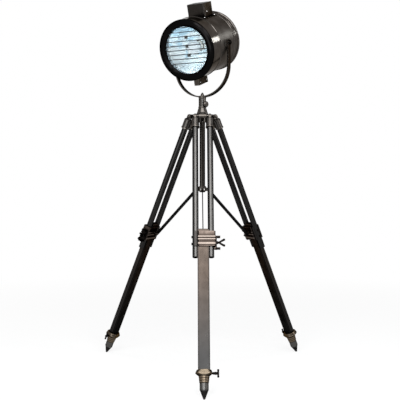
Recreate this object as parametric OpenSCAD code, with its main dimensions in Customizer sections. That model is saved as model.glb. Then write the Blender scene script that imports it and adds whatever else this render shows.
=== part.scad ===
// Tripod spotlight floor lamp: a drum searchlight in a bar yoke on a folding
// three-legged stand with telescoping legs, a brace spider and spiked feet.
// Millimetres, +Z up. The origin is on the floor, under the centre column.
// The front leg points along -Y, and the spotlight is turned and tilted as in use.

/* [Stance] */
// Lean of each leg from the vertical, degrees
leg_lean = 23.4; // [20:0.2:26]
// Length of a leg from its hinge to the point of its spike
leg_len = 1180; // [1140:5:1260]
// Distance of the leg hinges from the column's axis
hinge_r = 46; // [44:1:54]
// Turn of the spotlight from the front leg towards -X, degrees
head_pan = 30; // [0:5:60]
// Downward tilt of the spotlight, degrees
head_tilt = 17.5; // [0:2.5:40]

/* [Leg rods and ferrules] */
// Diameter of the round rods
rod_d = 25; // [22:0.5:27]
// Distance between the two rods of a leg, centre to centre
rod_pitch = 62; // [60:1:68]
// Distance from the hinge to the lower end of the rods
rod_end = 630; // [605:5:660]
// Wall of the ferrule round the top of a rod
ferrule_wall = 4; // [3:0.5:5]
// Length of a ferrule's cup
ferrule_len = 45; // [36:1:60]
// Distance from the hinge to the top of the cup
ferrule_drop = 10.8; // [10.6:0.2:14]
// Thickness of the ferrule's hinge tab
tab_t = 8; // [6:0.5:9]
// Diameter of the leg hinge pins
pin_d = 8; // [6:0.5:9]
// Thickness of the plug in the lower end of a rod
rod_cap_t = 6; // [4:1:10]

/* [Lower leg] */
// Width of the sliding board
board_w = 46; // [44:1:49]
// Thickness of the sliding board
board_t = 24; // [20:0.5:24.5]
// How far the top of the board stands out of the clamp
board_rise = 11; // [6:1:20]

/* [Leg clamp] */
// Distance from the hinge to the top of the clamp
clamp_top = 523; // [500:1:535]
// Height of the clamp along the leg
clamp_h = 63; // [58:1:70]
// Wall of the clamp in front of the rods and behind them
clamp_wall = 5.5; // [4:0.5:7]
// How far the jaws reach past the centre of the gripped rod
jaw_reach = 5; // [3:0.5:6.5]
// Width of the two upper ribs across the clamp
rib_w = 6; // [4:0.5:8]
// Height of each raised rib
rib_t = 2.6; // [1.5:0.1:3.5]
// Reach of the two flanges beside the clamp screw
flange_reach = 19; // [12:1:20]
// Diameter of the clamp, foot and socket screws
screw_d = 8; // [6:0.5:8]

/* [Foot] */
// Length of the foot from the mouth of its pocket to the point of the spike
foot_len = 108; // [104:1:114]
// Diameter of the foot's flange
flange_d = 66; // [62:1:70]
// Thickness of the foot's flange across the board
flange_t = 50; // [44:1:54]
// Depth of the pocket that holds the board
pocket_depth = 17; // [14:1:17]
// Diameter of the round shank under the foot's bands
shank_d = 34; // [32:0.5:36]
// Height of the banded cup between the flange and the shank
band_h = 26; // [22:1:28]
// Height of the round shank
shank_h = 26; // [22:1:28]
// Diameter of the spike where it leaves the shank
spike_d = 31; // [26:0.5:31.5]
// Diameter of the spike's blunt point
point_d = 7; // [5:0.5:9]

/* [Hub and column] */
// Diameter of the centre column
column_d = 24; // [22:0.5:25]
// Wall of the column's tube
column_wall = 2; // [1.5:0.25:3]
// Length of the column below the hinge line
column_drop = 328; // [325:1:345]
// Radius of the hub's barrel round the column
barrel_r = 17; // [16:0.5:20]
// Radius of the cross bosses that carry the hinge pins
boss_r = 9.5; // [8:0.25:9.5]
// Diameter of the hub's cone where it meets the arms
cone_d = 51; // [46:1:56]
// Height of the hub's cone
cone_h = 30; // [24:1:36]
// Outer diameter of the socket above the cone
socket_d = 31.5; // [30:0.5:34]
// Height of the socket
socket_h = 42; // [38:1:48]
// Diameter of the spigot that turns in the socket
spigot_d = 20; // [16:0.5:21]

/* [Brace spider] */
// Distance of the inner strut pivots from the column's axis
lug_r = 28; // [27:0.5:30]
// Height of the sliding collar
collar_h = 22; // [20:1:30]
// Distance along the leg from its hinge to the outer strut pivot
strut_s = 548; // [540:1:560]
// Distance from the leg's plane to the outer strut pivot
strut_e = 34; // [33.5:0.5:38]
// Width of a strut
strut_w = 13; // [10:0.5:14]
// Thickness of a strut
strut_t = 4; // [3:0.25:5]
// Diameter of the strut pins
strut_pin_d = 6; // [4:0.5:6.5]

/* [Yoke] */
// Room between the drum's side and the yoke's bar
yoke_gap = 2; // [1.5:0.25:5]
// Thickness of the yoke's flat bar
yoke_t = 5.5; // [4:0.25:5.5]
// Width of the yoke's flat bar
yoke_w = 24; // [18:1:28]
// Height of the tilt pivot above the underside of the yoke
yoke_h = 226.6; // [222:0.2:240]
// Diameter of the tilt screws
tilt_screw_d = 10; // [8:0.5:12]

/* [Drum] */
// Radius of the drum's body
drum_r = 123.5; // [118:0.5:130]
// Thickness of the drum's sheet
sheet = 1.5; // [1:0.25:2]
// Distance from the tilt pivot to the front of the drum
drum_front = 138; // [130:1:150]
// Distance from the tilt pivot to the back of the drum
drum_back = 102; // [98:1:110]
// How far the band behind the bezel stands out from the drum
front_band_out = 4; // [2.5:0.25:5]
// How far the rolled band round the back stands out from the drum
back_band_out = 2.5; // [1.5:0.25:3.5]
// How far the rim at the back stands out from the drum
rim_out = 5.9; // [4.5:0.2:7.1]
// Radius of the bosses that carry the tilt screws
pad_r = 16; // [14:1:17]

/* [Bezel and glass] */
// How far the front bezel stands out from the drum
bezel_out = 5; // [4:0.25:7.5]
// Depth of the front bezel
bezel_depth = 13; // [10:0.5:16]
// Width that the bezel covers, from the drum's side in to the clear glass
bezel_face = 25.5; // [21.5:0.5:33.5]
// Thickness of the front glass
glass_t = 4; // [3:0.5:5]

/* [Louvre and optics] */
// Most louvre slats that the ring takes
slat_count = 9; // [5:1:12]
// Distance from one slat to the next
slat_pitch = 18.5; // [14:0.5:19]
// Depth of a slat from front to back
slat_depth = 15; // [10:1:18]
// Thickness of a slat
slat_t = 1.4; // [1:0.1:2]
// Height of the lowest slat above the lamp's axis
slat_low = -55; // [-80:1:-30]
// How far the reflector's mouth is wider than the clear glass
reflector_out = 2; // [-4:0.5:3]
// Depth of the reflector
reflector_depth = 88; // [70:2:96]
// Diameter of the bulb
bulb_d = 60; // [45:1:66]

/* [Vents] */
// Width of the chimney on top of the drum
chimney_w = 84; // [74:1:90]
// Length of the chimney along the drum
chimney_l = 72; // [60:1:74]
// Height of the chimney above the top of the drum
chimney_rise = 49; // [40:1:56]
// Radius of the chimney's upright corners
chimney_corner = 6; // [4:1:14]
// Width of the connection box under the drum
box_w = 25; // [20:1:34]
// Length of the connection box along the drum
box_l = 82; // [70:1:86]
// Depth of the connection box below the underside of the drum
box_drop = 34.5; // [26:0.5:40]

/* [Hidden] */

$fn = 64;
eps = 0.01;
// Radial clearance of pins and shafts that turn or slide
run_gap = 0.05;
// Distance between faces of pieces that move past each other
face_gap = 0.3;
// Radial clearance of pieces that are fixed inside one another
seat_gap = 0.1;

FRONT = -90;
LEFT = 150;
RIGHT = 30;
SIDES = [-1, 1];

bronze = [0.27, 0.24, 0.21];
pewter = [0.45, 0.43, 0.40];
black = [0.05, 0.05, 0.05];
lacquer = [0.16, 0.13, 0.11];
steel = [0.55, 0.55, 0.56];

hinge_z = leg_len * cos(leg_lean);
pin_bore = pin_d + 2 * run_gap;
screw_bore = screw_d + 2 * run_gap;
strut_bore = strut_pin_d + 2 * run_gap;

// ---------- Frames of the moving groups ----------

// X points outward across the leg, Y along the hinge, -Z down the leg.
module in_leg(azimuth)
  rotate([0, 0, azimuth]) translate([hinge_r, 0, hinge_z]) rotate([0, -leg_lean, 0])
    children();

// Origin on the hinge line above the column, Z up.
module in_hub() translate([0, 0, hinge_z]) children();

// Origin at the tilt pivot, X along the tilt axis, Z up.
module in_yoke() translate([0, 0, pivot_z]) rotate([0, 0, -head_pan]) children();

// Origin at the tilt pivot, -Y towards the glass, Z towards the chimney.
module in_head() in_yoke() rotate([head_tilt, 0, 0]) children();

// Turned piece on the lamp's axis: profile points are [radius, distance forward].
module on_axis(points) rotate([90, 0, 0]) rotate_extrude() polygon(points);

// Rounded rectangle, centred, from straight sides and true arcs.
module rounded_rect(w, l, r) {
  square([w - 2 * r, l], center = true);
  square([w, l - 2 * r], center = true);
  for (x = SIDES) for (y = SIDES)
    translate([x * (w / 2 - r), y * (l / 2 - r)]) circle(r = r);
}

// Bar of constant width with round ends, from the origin to [length, 0].
module link_outline(length, width) {
  translate([0, -width / 2]) square([length, width]);
  circle(d = width);
  translate([length, 0]) circle(d = width);
}

// Cylinder that lies along Y, centred on the origin.
module along_y(d, h) rotate([90, 0, 0]) cylinder(d = d, h = h, center = true);

// Mirrors what is modelled at +X to the side asked for.
module on_side(side) mirror([(1 - side) / 2, 0, 0]) children();

// Cylinder along X that starts at x.
module along_x(d, x, h) translate([x, 0, 0]) rotate([0, 90, 0]) cylinder(d = d, h = h);

// ---------- Leg: rods and ferrules ----------

cup_d = rod_d + 2 * ferrule_wall;
cup_end = ferrule_drop + ferrule_len;
cup_roof = 8;
cup_bead = 1.5;
bead_h = 6;
cup_bevel = 5;
rod_top = ferrule_drop + cup_roof;
tab_r = boss_r;

module ferrules(azimuth)
  color(pewter) in_leg(azimuth)
    for (side = SIDES) translate([0, side * rod_pitch / 2, 0])
      difference() {
        union() {
          along_y(2 * tab_r, tab_t);
          translate([-tab_r, -tab_t / 2, -ferrule_drop - cup_bevel])
            cube([2 * tab_r, tab_t, ferrule_drop + cup_bevel]);
          rotate_extrude() polygon([
            [0, -ferrule_drop],
            [cup_d / 2 - cup_bevel, -ferrule_drop],
            [cup_d / 2, -ferrule_drop - cup_bevel],
            [cup_d / 2, -cup_end + bead_h],
            [cup_d / 2 + cup_bead, -cup_end + bead_h - cup_bead],
            [cup_d / 2 + cup_bead, -cup_end],
            [0, -cup_end]]);
        }
        along_y(pin_bore, tab_t + 2);
        translate([0, 0, -cup_end - 1])
          cylinder(d = rod_d + 2 * seat_gap, h = cup_end - rod_top + 1);
      }

// Where the wing screw goes through the rod on its side
screw_s = clamp_top + clamp_h * 0.71;

module rods(azimuth)
  color(lacquer) in_leg(azimuth)
    for (side = SIDES) translate([0, side * rod_pitch / 2, 0]) {
      difference() {
        translate([0, 0, -rod_end + rod_cap_t]) cylinder(d = rod_d, h = rod_end - rod_cap_t - rod_top);
        if (side > 0) translate([0, 0, -screw_s]) along_y(screw_bore, 2 * rod_d);
        if (side < 0) translate([0, rod_pitch / 2, 0]) at_bolts()
          along_y(bolt_d + 2 * seat_gap, 2 * bolt_in + 1);
      }
      translate([0, 0, -rod_end]) rotate_extrude() polygon([
        [0, 0], [rod_d / 2 - 1.5, 0], [rod_d / 2, 1.5],
        [rod_d / 2, rod_cap_t], [0, rod_cap_t]]);
    }

// ---------- Leg: sliding board ----------

board_top = clamp_top - board_rise;
foot_top = leg_len - foot_len;
board_end = foot_top + pocket_depth;
groove_r = rod_d / 2 + face_gap;
board_bevel = 3;

module board_outline() {
  difference() {
    square([board_t, board_w], center = true);
    for (side = SIDES) translate([0, side * rod_pitch / 2]) circle(r = groove_r);
  }
}

module board(azimuth)
  color(lacquer) in_leg(azimuth)
    difference() {
      translate([0, 0, -board_end]) linear_extrude(board_end - board_top) board_outline();
      for (side = SIDES) translate([side * board_t / 2, 0, -board_top])
        rotate([0, 45, 0]) cube([board_bevel, board_w + 2, board_bevel], center = true);
    }

// ---------- Leg: clamp ----------

clamp_t = rod_d + 2 * clamp_wall;
grip_y = rod_pitch / 2 + jaw_reach;
cheek_y = rod_pitch / 2 + rod_d / 2 + clamp_wall;
plate_edge = rod_pitch / 2 - 9;
flange_h = 5;
web_t = 5;
lug_t = 5;
strut_gap = 0.4;
lug_in = strut_t / 2 + strut_gap;
strut_eye = strut_w / 2 + 1.5;
rivet_d = 11;
rivet_t = 2.5;
bolt_head_d = 10;
bolt_d = 5;
bolt_in = 9;
bolt_at = [0.34, 0.8];

// On the outside of the gripped rod, at each cross bolt
module at_bolts() for (at = bolt_at)
  translate([0, -rod_pitch / 2 - rod_d / 2, -clamp_top - clamp_h * at]) children();

// What is left free in the clamp: both rods, the board and the open side of the jaws.
module clamp_bore() {
  for (side = SIDES) translate([0, side * rod_pitch / 2]) circle(d = rod_d + 2 * seat_gap);
  square([board_t + 2 * face_gap, rod_pitch], center = true);
  translate([-clamp_t, -2 * rod_pitch]) square([2 * clamp_t, 2 * rod_pitch - grip_y]);
}

// Plates over the board and the rod on the screw's side.
module plate_outline(grow)
  translate([0, (cheek_y - plate_edge) / 2])
    rounded_rect(clamp_t + 2 * grow, cheek_y + plate_edge + 2 * grow, clamp_wall);

module clamp_body()
  translate([0, 0, -clamp_top - clamp_h]) linear_extrude(clamp_h) difference() {
    union() {
      plate_outline(0);
      // Round jaws on the gripped rod
      translate([0, -rod_pitch / 2]) circle(r = rod_d / 2 + clamp_wall);
    }
    clamp_bore();
  }

// Ribs across the clamp: [share of the clamp's height, share of the rib width].
ribs = [[0.38, 1.1], [0.555, 1], [0.835, 1.5]];

module clamp_ribs()
  for (rib = ribs) translate([0, 0, -clamp_top - clamp_h * rib[0] - rib_w * rib[1] / 2])
    linear_extrude(rib_w * rib[1]) difference() {
      plate_outline(rib_t);
      clamp_bore();
    }

// Bracket on the screw's side: an upright web with a flange above and below.
upper_flange = clamp_top + 0.37 * clamp_h;
lower_flange = clamp_top + 1.14 * clamp_h;

module clamp_flanges() {
  rod_side = rod_pitch / 2 + rod_d / 2 + face_gap;
  translate([-clamp_t / 2 + clamp_wall, cheek_y - eps, -lower_flange])
    cube([clamp_t - 2 * clamp_wall, web_t, lower_flange - upper_flange]);
  translate([-clamp_t / 4, cheek_y - eps, -upper_flange])
    cube([clamp_t / 2, flange_reach, flange_h]);
  translate([-clamp_t / 4, rod_side, -lower_flange])
    cube([clamp_t / 2, cheek_y + flange_reach - rod_side, flange_h]);
}

// Lug beside the strut's outer end, with half of the rivet.
module strut_lug() {
  translate([-strut_e, lug_in, -strut_s]) rotate([-90, 0, 0]) {
    linear_extrude(lug_t) {
      circle(r = strut_eye);
      translate([0, -strut_eye]) square([strut_e - clamp_t / 2 + clamp_wall / 2, 2 * strut_eye]);
    }
    translate([0, 0, lug_t - eps]) cylinder(d = rivet_d, h = rivet_t);
  }
}

module clamp(azimuth)
  color(bronze) in_leg(azimuth) {
    difference() {
      union() {
        clamp_body();
        clamp_ribs();
        clamp_flanges();
        strut_lug();
      }
      translate([0, cheek_y, -screw_s]) along_y(screw_bore, 4 * rod_d);
    }
    // Cross bolts that hold the clamp on the gripped rod
    at_bolts() {
      translate([0, -0.05, 0]) rotate([90, 0, 0]) cylinder(d = bolt_head_d, h = 4);
      rotate([-90, 0, 0]) translate([0, 0, -0.1]) cylinder(d = bolt_d, h = bolt_in);
    }
  }

// ---------- Screws with handles ----------

// Wing screw along +Y: shank from y0 to y1, then a hub and two wings.
module wing_screw(y0, y1) {
  wing_h = 32;
  wing_l = 30;
  wing_t = 5;
  neck_d = 13;
  translate([0, y0, 0]) rotate([-90, 0, 0]) cylinder(d = screw_d, h = y1 - y0 + 2);
  translate([0, y1, 0]) rotate([-90, 0, 0]) rotate_extrude() polygon([
    [0, 0], [neck_d / 2, 0], [neck_d / 2, 3], [screw_d / 2, 7], [screw_d / 2, 13], [0, 13]]);
  translate([-wing_t / 2, y1 + 6, 0]) rotate([90, 0, 90]) linear_extrude(wing_t) {
    difference() {
      union() {
        polygon([[0, -3], [wing_l - 7, -wing_h / 2], [wing_l - 7, wing_h / 2], [0, 3]]);
        for (side = SIDES) translate([wing_l - 7, side * (wing_h / 2 - 4)]) circle(r = 4.5);
      }
      polygon([[8, 0], [wing_l - 5, -wing_h / 2 + 7], [wing_l + 1, 0], [wing_l - 5, wing_h / 2 - 7]]);
    }
  }
}

// Screw with a cross bar along +Y: shank from y0 to y1, a neck, a knuckle and the bar.
module bar_screw(d, y0, y1, neck, bar_l, bar_d) {
  knuckle = 1.5 * d;
  translate([0, y0, 0]) rotate([-90, 0, 0]) cylinder(d = d, h = y1 - y0 + 1);
  translate([0, y1, 0]) rotate([-90, 0, 0]) cylinder(d = 1.25 * d, h = neck + 1);
  translate([0, y1 + neck, 0]) rotate([-90, 0, 0]) rotate_extrude() polygon([
    [0, 0], [knuckle / 2, 0], [knuckle / 2, 0.5 * d], [0.45 * knuckle, 0.6 * d],
    [0.45 * knuckle, 1.2 * d], [knuckle / 2, 1.3 * d], [knuckle / 2, 1.8 * d], [0, 1.8 * d]]);
  translate([0, y1 + neck + 1.55 * d, 0]) {
    cylinder(d = bar_d, h = bar_l, center = true);
    for (side = SIDES) translate([0, 0, side * bar_l / 2]) sphere(d = 1.2 * bar_d);
  }
}

module clamp_screw(azimuth)
  color(bronze) in_leg(azimuth) translate([0, 0, -screw_s])
    wing_screw(rod_pitch / 2 - rod_d / 2 + 1, cheek_y + web_t + face_gap);

// ---------- Foot ----------

flange_mid = foot_top + 12;
collar_end = foot_top + 23;
band_end = collar_end + band_h;
shank_end = band_end + shank_h;
mouth_d = flange_d - 10;
foot_screw_s = flange_mid + 0.4;
spike_seat_d = 18;
spike_seat_h = 30;
ring_groove = 1.2;

module foot(azimuth)
  color(bronze) in_leg(azimuth)
    difference() {
      union() {
        intersection() {
          rotate_extrude() polygon([
            [0, -foot_top],
            [mouth_d / 2, -foot_top],
            [flange_d / 2 - 1, -flange_mid + 3],
            [flange_d / 2, -flange_mid + 1.2],
            [flange_d / 2, -flange_mid - 1.2],
            [flange_d / 2 - 2, -flange_mid - 3],
            [shank_d / 2 + 4, -collar_end],
            [0, -collar_end]]);
          cube([flange_t, 2 * flange_d, 2 * leg_len], center = true);
        }
        rotate_extrude() polygon(concat(
          [[0, -collar_end + 1], [shank_d / 2 + 3.5, -collar_end + 1]],
          [for (band = [0:2]) let (top = -collar_end - band * band_h / 3)
            each [[shank_d / 2 + 3.5 - band, top - 1],
                  [shank_d / 2 + 3.5 - band, top - band_h / 3 + 2],
                  [shank_d / 2 + 2.2 - band, top - band_h / 3 + 1]]],
          [[shank_d / 2, -band_end], [shank_d / 2, -shank_end], [0, -shank_end]]));
      }
      // Pocket for the board
      translate([0, 0, -board_end]) linear_extrude(leg_len)
        square([board_t + 2 * seat_gap, board_w + 2 * seat_gap], center = true);
      // Seat of the spike
      translate([0, 0, -shank_end - 1])
        cylinder(d = spike_seat_d + 2 * seat_gap, h = spike_seat_h + 1);
      // Hole for the foot screw, and the small pin hole in the shank
      translate([0, board_w / 2 - 1, -foot_screw_s]) rotate([-90, 0, 0])
        cylinder(d = screw_bore, h = flange_d / 2);
      translate([flange_d / 2, 0, -band_end - shank_h / 2]) rotate([0, 90, 0])
        cylinder(d = 4, h = flange_d / 2 + 2, center = true);
    }

module spike(azimuth)
  color(steel) intersection() {
    in_leg(azimuth) rotate_extrude() polygon([
      [0, -shank_end + spike_seat_h - 1],
      [spike_seat_d / 2, -shank_end + spike_seat_h - 1],
      [spike_seat_d / 2, -shank_end],
      [spike_d / 2, -shank_end],
      [spike_d / 2, -shank_end - 3],
      [spike_d / 2 - ring_groove, -shank_end - 3],
      [spike_d / 2 - ring_groove, -shank_end - 5],
      [point_d / 2, -leg_len],
      [point_d / 4, -leg_len - 4],
      [0, -leg_len - 4]]);
    translate([-leg_len, -leg_len, 0]) cube([2 * leg_len, 2 * leg_len, hinge_z]);
  }

module foot_screw(azimuth)
  color(bronze) in_leg(azimuth) translate([0, 0, -foot_screw_s])
    bar_screw(screw_d, rod_pitch / 2 - rod_d / 2 + 1, flange_d / 2 + face_gap, 7.5, 24, 7);

// ---------- Brace spider ----------

// Height of the collar's pivots, from the stop at the foot of the column
cap_h = 5;
collar_foot = hinge_z - column_drop + cap_h + face_gap;
collar_pivot_z = collar_foot + 8;
collar_lug_t = 4;
collar_r = column_d / 2 + 5.5;

// Outer strut pivot of a leg, as [distance from the axis, height]
strut_out_r = hinge_r + strut_s * sin(leg_lean) - strut_e * cos(leg_lean);
strut_out_z = hinge_z - strut_s * cos(leg_lean) - strut_e * sin(leg_lean);
strut_len = norm([strut_out_r - lug_r, collar_pivot_z - strut_out_z]);
strut_drop = atan2(collar_pivot_z - strut_out_z, strut_out_r - lug_r);

module strut(azimuth)
  color(black) rotate([0, 0, azimuth]) translate([lug_r, 0, collar_pivot_z])
    rotate([0, strut_drop, 0]) {
      rotate([90, 0, 0]) difference() {
        union() {
          linear_extrude(strut_t, center = true) link_outline(strut_len, strut_w);
          // Half of the outer rivet
          translate([strut_len, 0, strut_t / 2 - eps]) cylinder(d = rivet_d, h = rivet_t);
        }
        cylinder(d = strut_bore, h = 2 * strut_t, center = true);
      }
    }

module brace_collar()
  color(bronze) difference() {
    union() {
      translate([0, 0, collar_foot]) rotate_extrude() polygon([
        [0, 0], [collar_r - 1, 0], [collar_r, 1], [collar_r, collar_h - 4],
        [collar_r - 2.5, collar_h], [0, collar_h]]);
      for (azimuth = [FRONT, LEFT, RIGHT]) rotate([0, 0, azimuth])
        for (side = SIDES)
          translate([0, side * (lug_in + collar_lug_t / 2), collar_pivot_z]) rotate([90, 0, 0])
            linear_extrude(collar_lug_t, center = true) link_outline(lug_r, 14);
    }
    translate([0, 0, collar_foot - 1]) cylinder(d = column_d + 2 * run_gap, h = collar_h + 20);
    for (azimuth = [FRONT, LEFT, RIGHT]) rotate([0, 0, azimuth])
      translate([lug_r, 0, collar_pivot_z]) along_y(strut_pin_d + 2 * seat_gap, 30);
  }

module collar_pins()
  color(steel) for (azimuth = [FRONT, LEFT, RIGHT]) rotate([0, 0, azimuth])
    translate([lug_r, 0, collar_pivot_z]) {
      along_y(strut_pin_d, 2 * (lug_in + collar_lug_t + seat_gap));
      for (side = SIDES) translate([0, side * (lug_in + collar_lug_t + seat_gap + 1.2), 0])
        along_y(strut_pin_d + 4, 2.4);
    }

// ---------- Hub and column ----------

column_foot = hinge_z - column_drop;

module column_tube()
  color(lacquer) translate([0, 0, column_foot + cap_h]) difference() {
    cylinder(d = column_d, h = column_drop - cap_h + boss_r);
    translate([0, 0, -1])
      cylinder(d = column_d - 2 * column_wall, h = column_drop + boss_r + 2);
  }

module column_cap()
  color(black) translate([0, 0, column_foot]) rotate_extrude() polygon([
    [0, 0], [column_d / 2 - 3, 0.6], [column_d / 2, 2.2], [column_d / 2 + 1, cap_h - 1.5],
    [column_d / 2 + 1, cap_h], [column_d / 2 - column_wall - seat_gap, cap_h],
    [column_d / 2 - column_wall - seat_gap, cap_h + 12], [0, cap_h + 12]]);

pin_half = rod_pitch / 2 + tab_t / 2 + face_gap;
boss_half = rod_pitch / 2 - tab_t / 2 - face_gap;
cheek_half = 16;
arm_t = 7;
arm_root_w = 42;
arm_tip_w = 26;
barrel_drop = 26;
cone_top = boss_r + cone_h;

module hub_arm() {
  difference() {
    translate([0, 0, boss_r - arm_t]) linear_extrude(arm_t) polygon([
      [0, -arm_root_w / 2], [barrel_r, -arm_root_w / 2], [hinge_r, -arm_tip_w / 2],
      [hinge_r, arm_tip_w / 2], [barrel_r, arm_root_w / 2], [0, arm_root_w / 2]]);
    for (side = SIDES) translate([(barrel_r + hinge_r) / 2, side * 7.5, 0])
      cylinder(d = 8, h = 4 * boss_r, center = true);
  }
  translate([hinge_r, 0, 0]) {
    along_y(2 * boss_r, 2 * cheek_half);
    along_y(pin_d + 3.6, 2 * boss_half);
  }
  rotate([90, 0, 0]) linear_extrude(arm_t, center = true) polygon([
    [0, boss_r - 1], [hinge_r, boss_r - 1], [hinge_r, -boss_r + 2.5],
    [barrel_r, -barrel_drop + 4], [0, -barrel_drop + 4]]);
}

module hub_casting()
  color(pewter) in_hub() difference() {
    union() {
      for (azimuth = [FRONT, LEFT, RIGHT]) rotate([0, 0, azimuth]) hub_arm();
      translate([0, 0, -barrel_drop]) cylinder(r = barrel_r, h = barrel_drop + boss_r);
      rotate_extrude() polygon([
        [0, boss_r - 1], [cone_d / 2, boss_r - 1], [cone_d / 2, boss_r + 2],
        [cone_d / 2 - 3.4, boss_r + 0.3 * cone_h], [cone_d / 2 - 6, boss_r + 0.62 * cone_h],
        [socket_d / 2 + 0.8, cone_top - 3], [socket_d / 2 + 1.8, cone_top - 2],
        [socket_d / 2 + 1.8, cone_top], [0, cone_top]]);
    }
    for (azimuth = [FRONT, LEFT, RIGHT]) rotate([0, 0, azimuth])
      translate([hinge_r, 0, 0]) along_y(pin_d + 2 * seat_gap, 4 * boss_half);
    translate([0, 0, -barrel_drop - 1])
      cylinder(d = column_d + 2 * seat_gap, h = barrel_drop + 1 + boss_r + seat_gap);
  }

module hinge_pins()
  color(steel) in_hub() for (azimuth = [FRONT, LEFT, RIGHT]) rotate([0, 0, azimuth])
    translate([hinge_r, 0, 0]) {
      along_y(pin_d, 2 * pin_half);
      for (side = SIDES) translate([0, side * pin_half, 0]) rotate([-side * 90, 0, 0])
        rotate_extrude() polygon([
          [0, -eps], [pin_d / 2 + 3, -eps], [pin_d / 2 + 3, 3], [pin_d / 2 + 1, 5], [0, 5.6]]);
    }

// ---------- Socket and spigot ----------

socket_top = cone_top + socket_h;
socket_floor = 6;
slit_w = 2.4;
knob_turn = -50;
knob_up = 12;
knob_d = 25;
knob_t = 13;
knob_gap = 1;

module socket()
  color(pewter) in_hub() difference() {
    translate([0, 0, cone_top]) rotate_extrude() polygon([
      [0, 0], [socket_d / 2 + 1, 0], [socket_d / 2 + 1, 3], [socket_d / 2, 4],
      [socket_d / 2, socket_h - 4], [socket_d / 2 + 0.8, socket_h - 3],
      [socket_d / 2 + 0.8, socket_h], [0, socket_h]]);
    translate([0, 0, cone_top + socket_floor])
      cylinder(d = spigot_d + 2 * run_gap, h = socket_h);
    rotate([0, 0, FRONT]) translate([0, -slit_w / 2, cone_top + socket_h * 0.4])
      cube([socket_d, slit_w, socket_h]);
    rotate([0, 0, knob_turn]) translate([0, 0, cone_top + knob_up])
      rotate([0, 90, 0]) cylinder(d = screw_bore, h = socket_d);
  }

module socket_screw()
  color(bronze) in_hub() translate([0, 0, cone_top + knob_up]) rotate([0, 0, knob_turn]) {
    along_x(screw_d, spigot_d / 2 + face_gap, socket_d / 2 - spigot_d / 2 + 2);
    translate([socket_d / 2 + knob_gap, 0, 0]) rotate([0, 90, 0]) rotate_extrude() polygon([
      [0, 0], [screw_d / 2 + 2, 0], [screw_d / 2 + 3, 2], [knob_d / 2 - 2, 3], [knob_d / 2, 5],
      [knob_d / 2, knob_t - 3.5], [knob_d / 2 - 2.5, knob_t - 1], [knob_d / 4, knob_t], [0, knob_t]]);
  }

stud_d = 12;
nut_d = 15.5;
nut_h = 14.5;
bar_pad_t = yoke_t + 1;

module spigot()
  color(steel) in_hub() rotate_extrude() polygon([
    [0, cone_top + socket_floor + 1], [spigot_d / 2 - 1, cone_top + socket_floor + 1],
    [spigot_d / 2, cone_top + socket_floor + 2], [spigot_d / 2, socket_top + face_gap],
    [stud_d / 2, socket_top + face_gap], [stud_d / 2, socket_top + face_gap + bar_pad_t + 6],
    [0, socket_top + face_gap + bar_pad_t + 6]]);

module finial_nut()
  color(pewter) in_hub() translate([0, 0, socket_top + face_gap + bar_pad_t]) difference() {
    rotate_extrude() polygon([
      [0, 0], [nut_d / 2, 0], [nut_d / 2, 4], [nut_d / 2 - 1.2, 5], [nut_d / 2 - 1.6, 8],
      [nut_d / 2 - 4, 11], [1.8, nut_h - 0.6], [0, nut_h]]);
    translate([0, 0, -1]) cylinder(d = stud_d + 2 * seat_gap, h = 1 + 6 + seat_gap);
  }

// ---------- Yoke ----------

yoke_foot = hinge_z + socket_top + face_gap;
pivot_z = yoke_foot + yoke_h;
yoke_in = drum_r + yoke_gap;
yoke_r = yoke_in + yoke_t;
bend_drop = yoke_h - yoke_r;

// Outline of the bent bar in the plane of the tilt axis
module yoke_outline() {
  difference() {
    union() {
      translate([0, -bend_drop]) circle(r = yoke_r, $fn = 128);
      translate([-yoke_r, -bend_drop]) square([2 * yoke_r, bend_drop]);
    }
    translate([0, -bend_drop]) circle(r = yoke_in, $fn = 128);
    translate([-yoke_in, -bend_drop]) square([2 * yoke_in, 2 * yoke_r]);
    translate([-2 * yoke_r, 0]) square([4 * yoke_r, 2 * yoke_r]);
  }
}

module yoke_bar()
  color(bronze) in_yoke() difference() {
    union() {
      rotate([90, 0, 0]) linear_extrude(yoke_w, center = true) yoke_outline();
      for (side = SIDES) on_side(side) along_x(yoke_w, yoke_in, yoke_t);
      translate([0, 0, -yoke_h]) cylinder(d = socket_d, h = bar_pad_t);
    }
    rotate([0, 90, 0])
      cylinder(d = tilt_screw_d + 2 * run_gap, h = 3 * yoke_r, center = true);
    translate([0, 0, -yoke_h - 1]) cylinder(d = stud_d + 2 * seat_gap, h = 3 * yoke_t);
  }

pad_in = drum_r - 11;
tilt_knob_d = 19;
tilt_knob_t = 8;

// Tilt screw through an arm of the yoke, with its low round knob
module tilt_screw(side)
  color(bronze) in_head() on_side(side) {
    along_x(tilt_screw_d, pad_in + 2, yoke_r - pad_in);
    translate([yoke_r + face_gap, 0, 0]) rotate([0, 90, 0]) rotate_extrude() polygon([
      [0, 0], [tilt_knob_d / 2 - 1.5, 0], [tilt_knob_d / 2, 1.5], [tilt_knob_d / 2, tilt_knob_t - 3.5],
      [tilt_knob_d / 2 - 1.5, tilt_knob_t - 2], [tilt_knob_d / 4, tilt_knob_t],
      [0, tilt_knob_t]]);
  }

// ---------- Drum ----------

front_band_r = drum_r + front_band_out;
back_band_r = drum_r + back_band_out;
rim_r = drum_r + rim_out;
bezel_r = drum_r + bezel_out;
glass_view_r = drum_r - bezel_face;
reflector_r = glass_view_r + reflector_out;
chimney_top = drum_r + chimney_rise;
box_bottom = drum_r + box_drop;
band_back = 66;
step = 3;
back_band = 62;
bead = 1.6;
bead_at = [-76, 100];
rim_w = 10;
chimney_back = -59;
vent_inset = 9;

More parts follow.
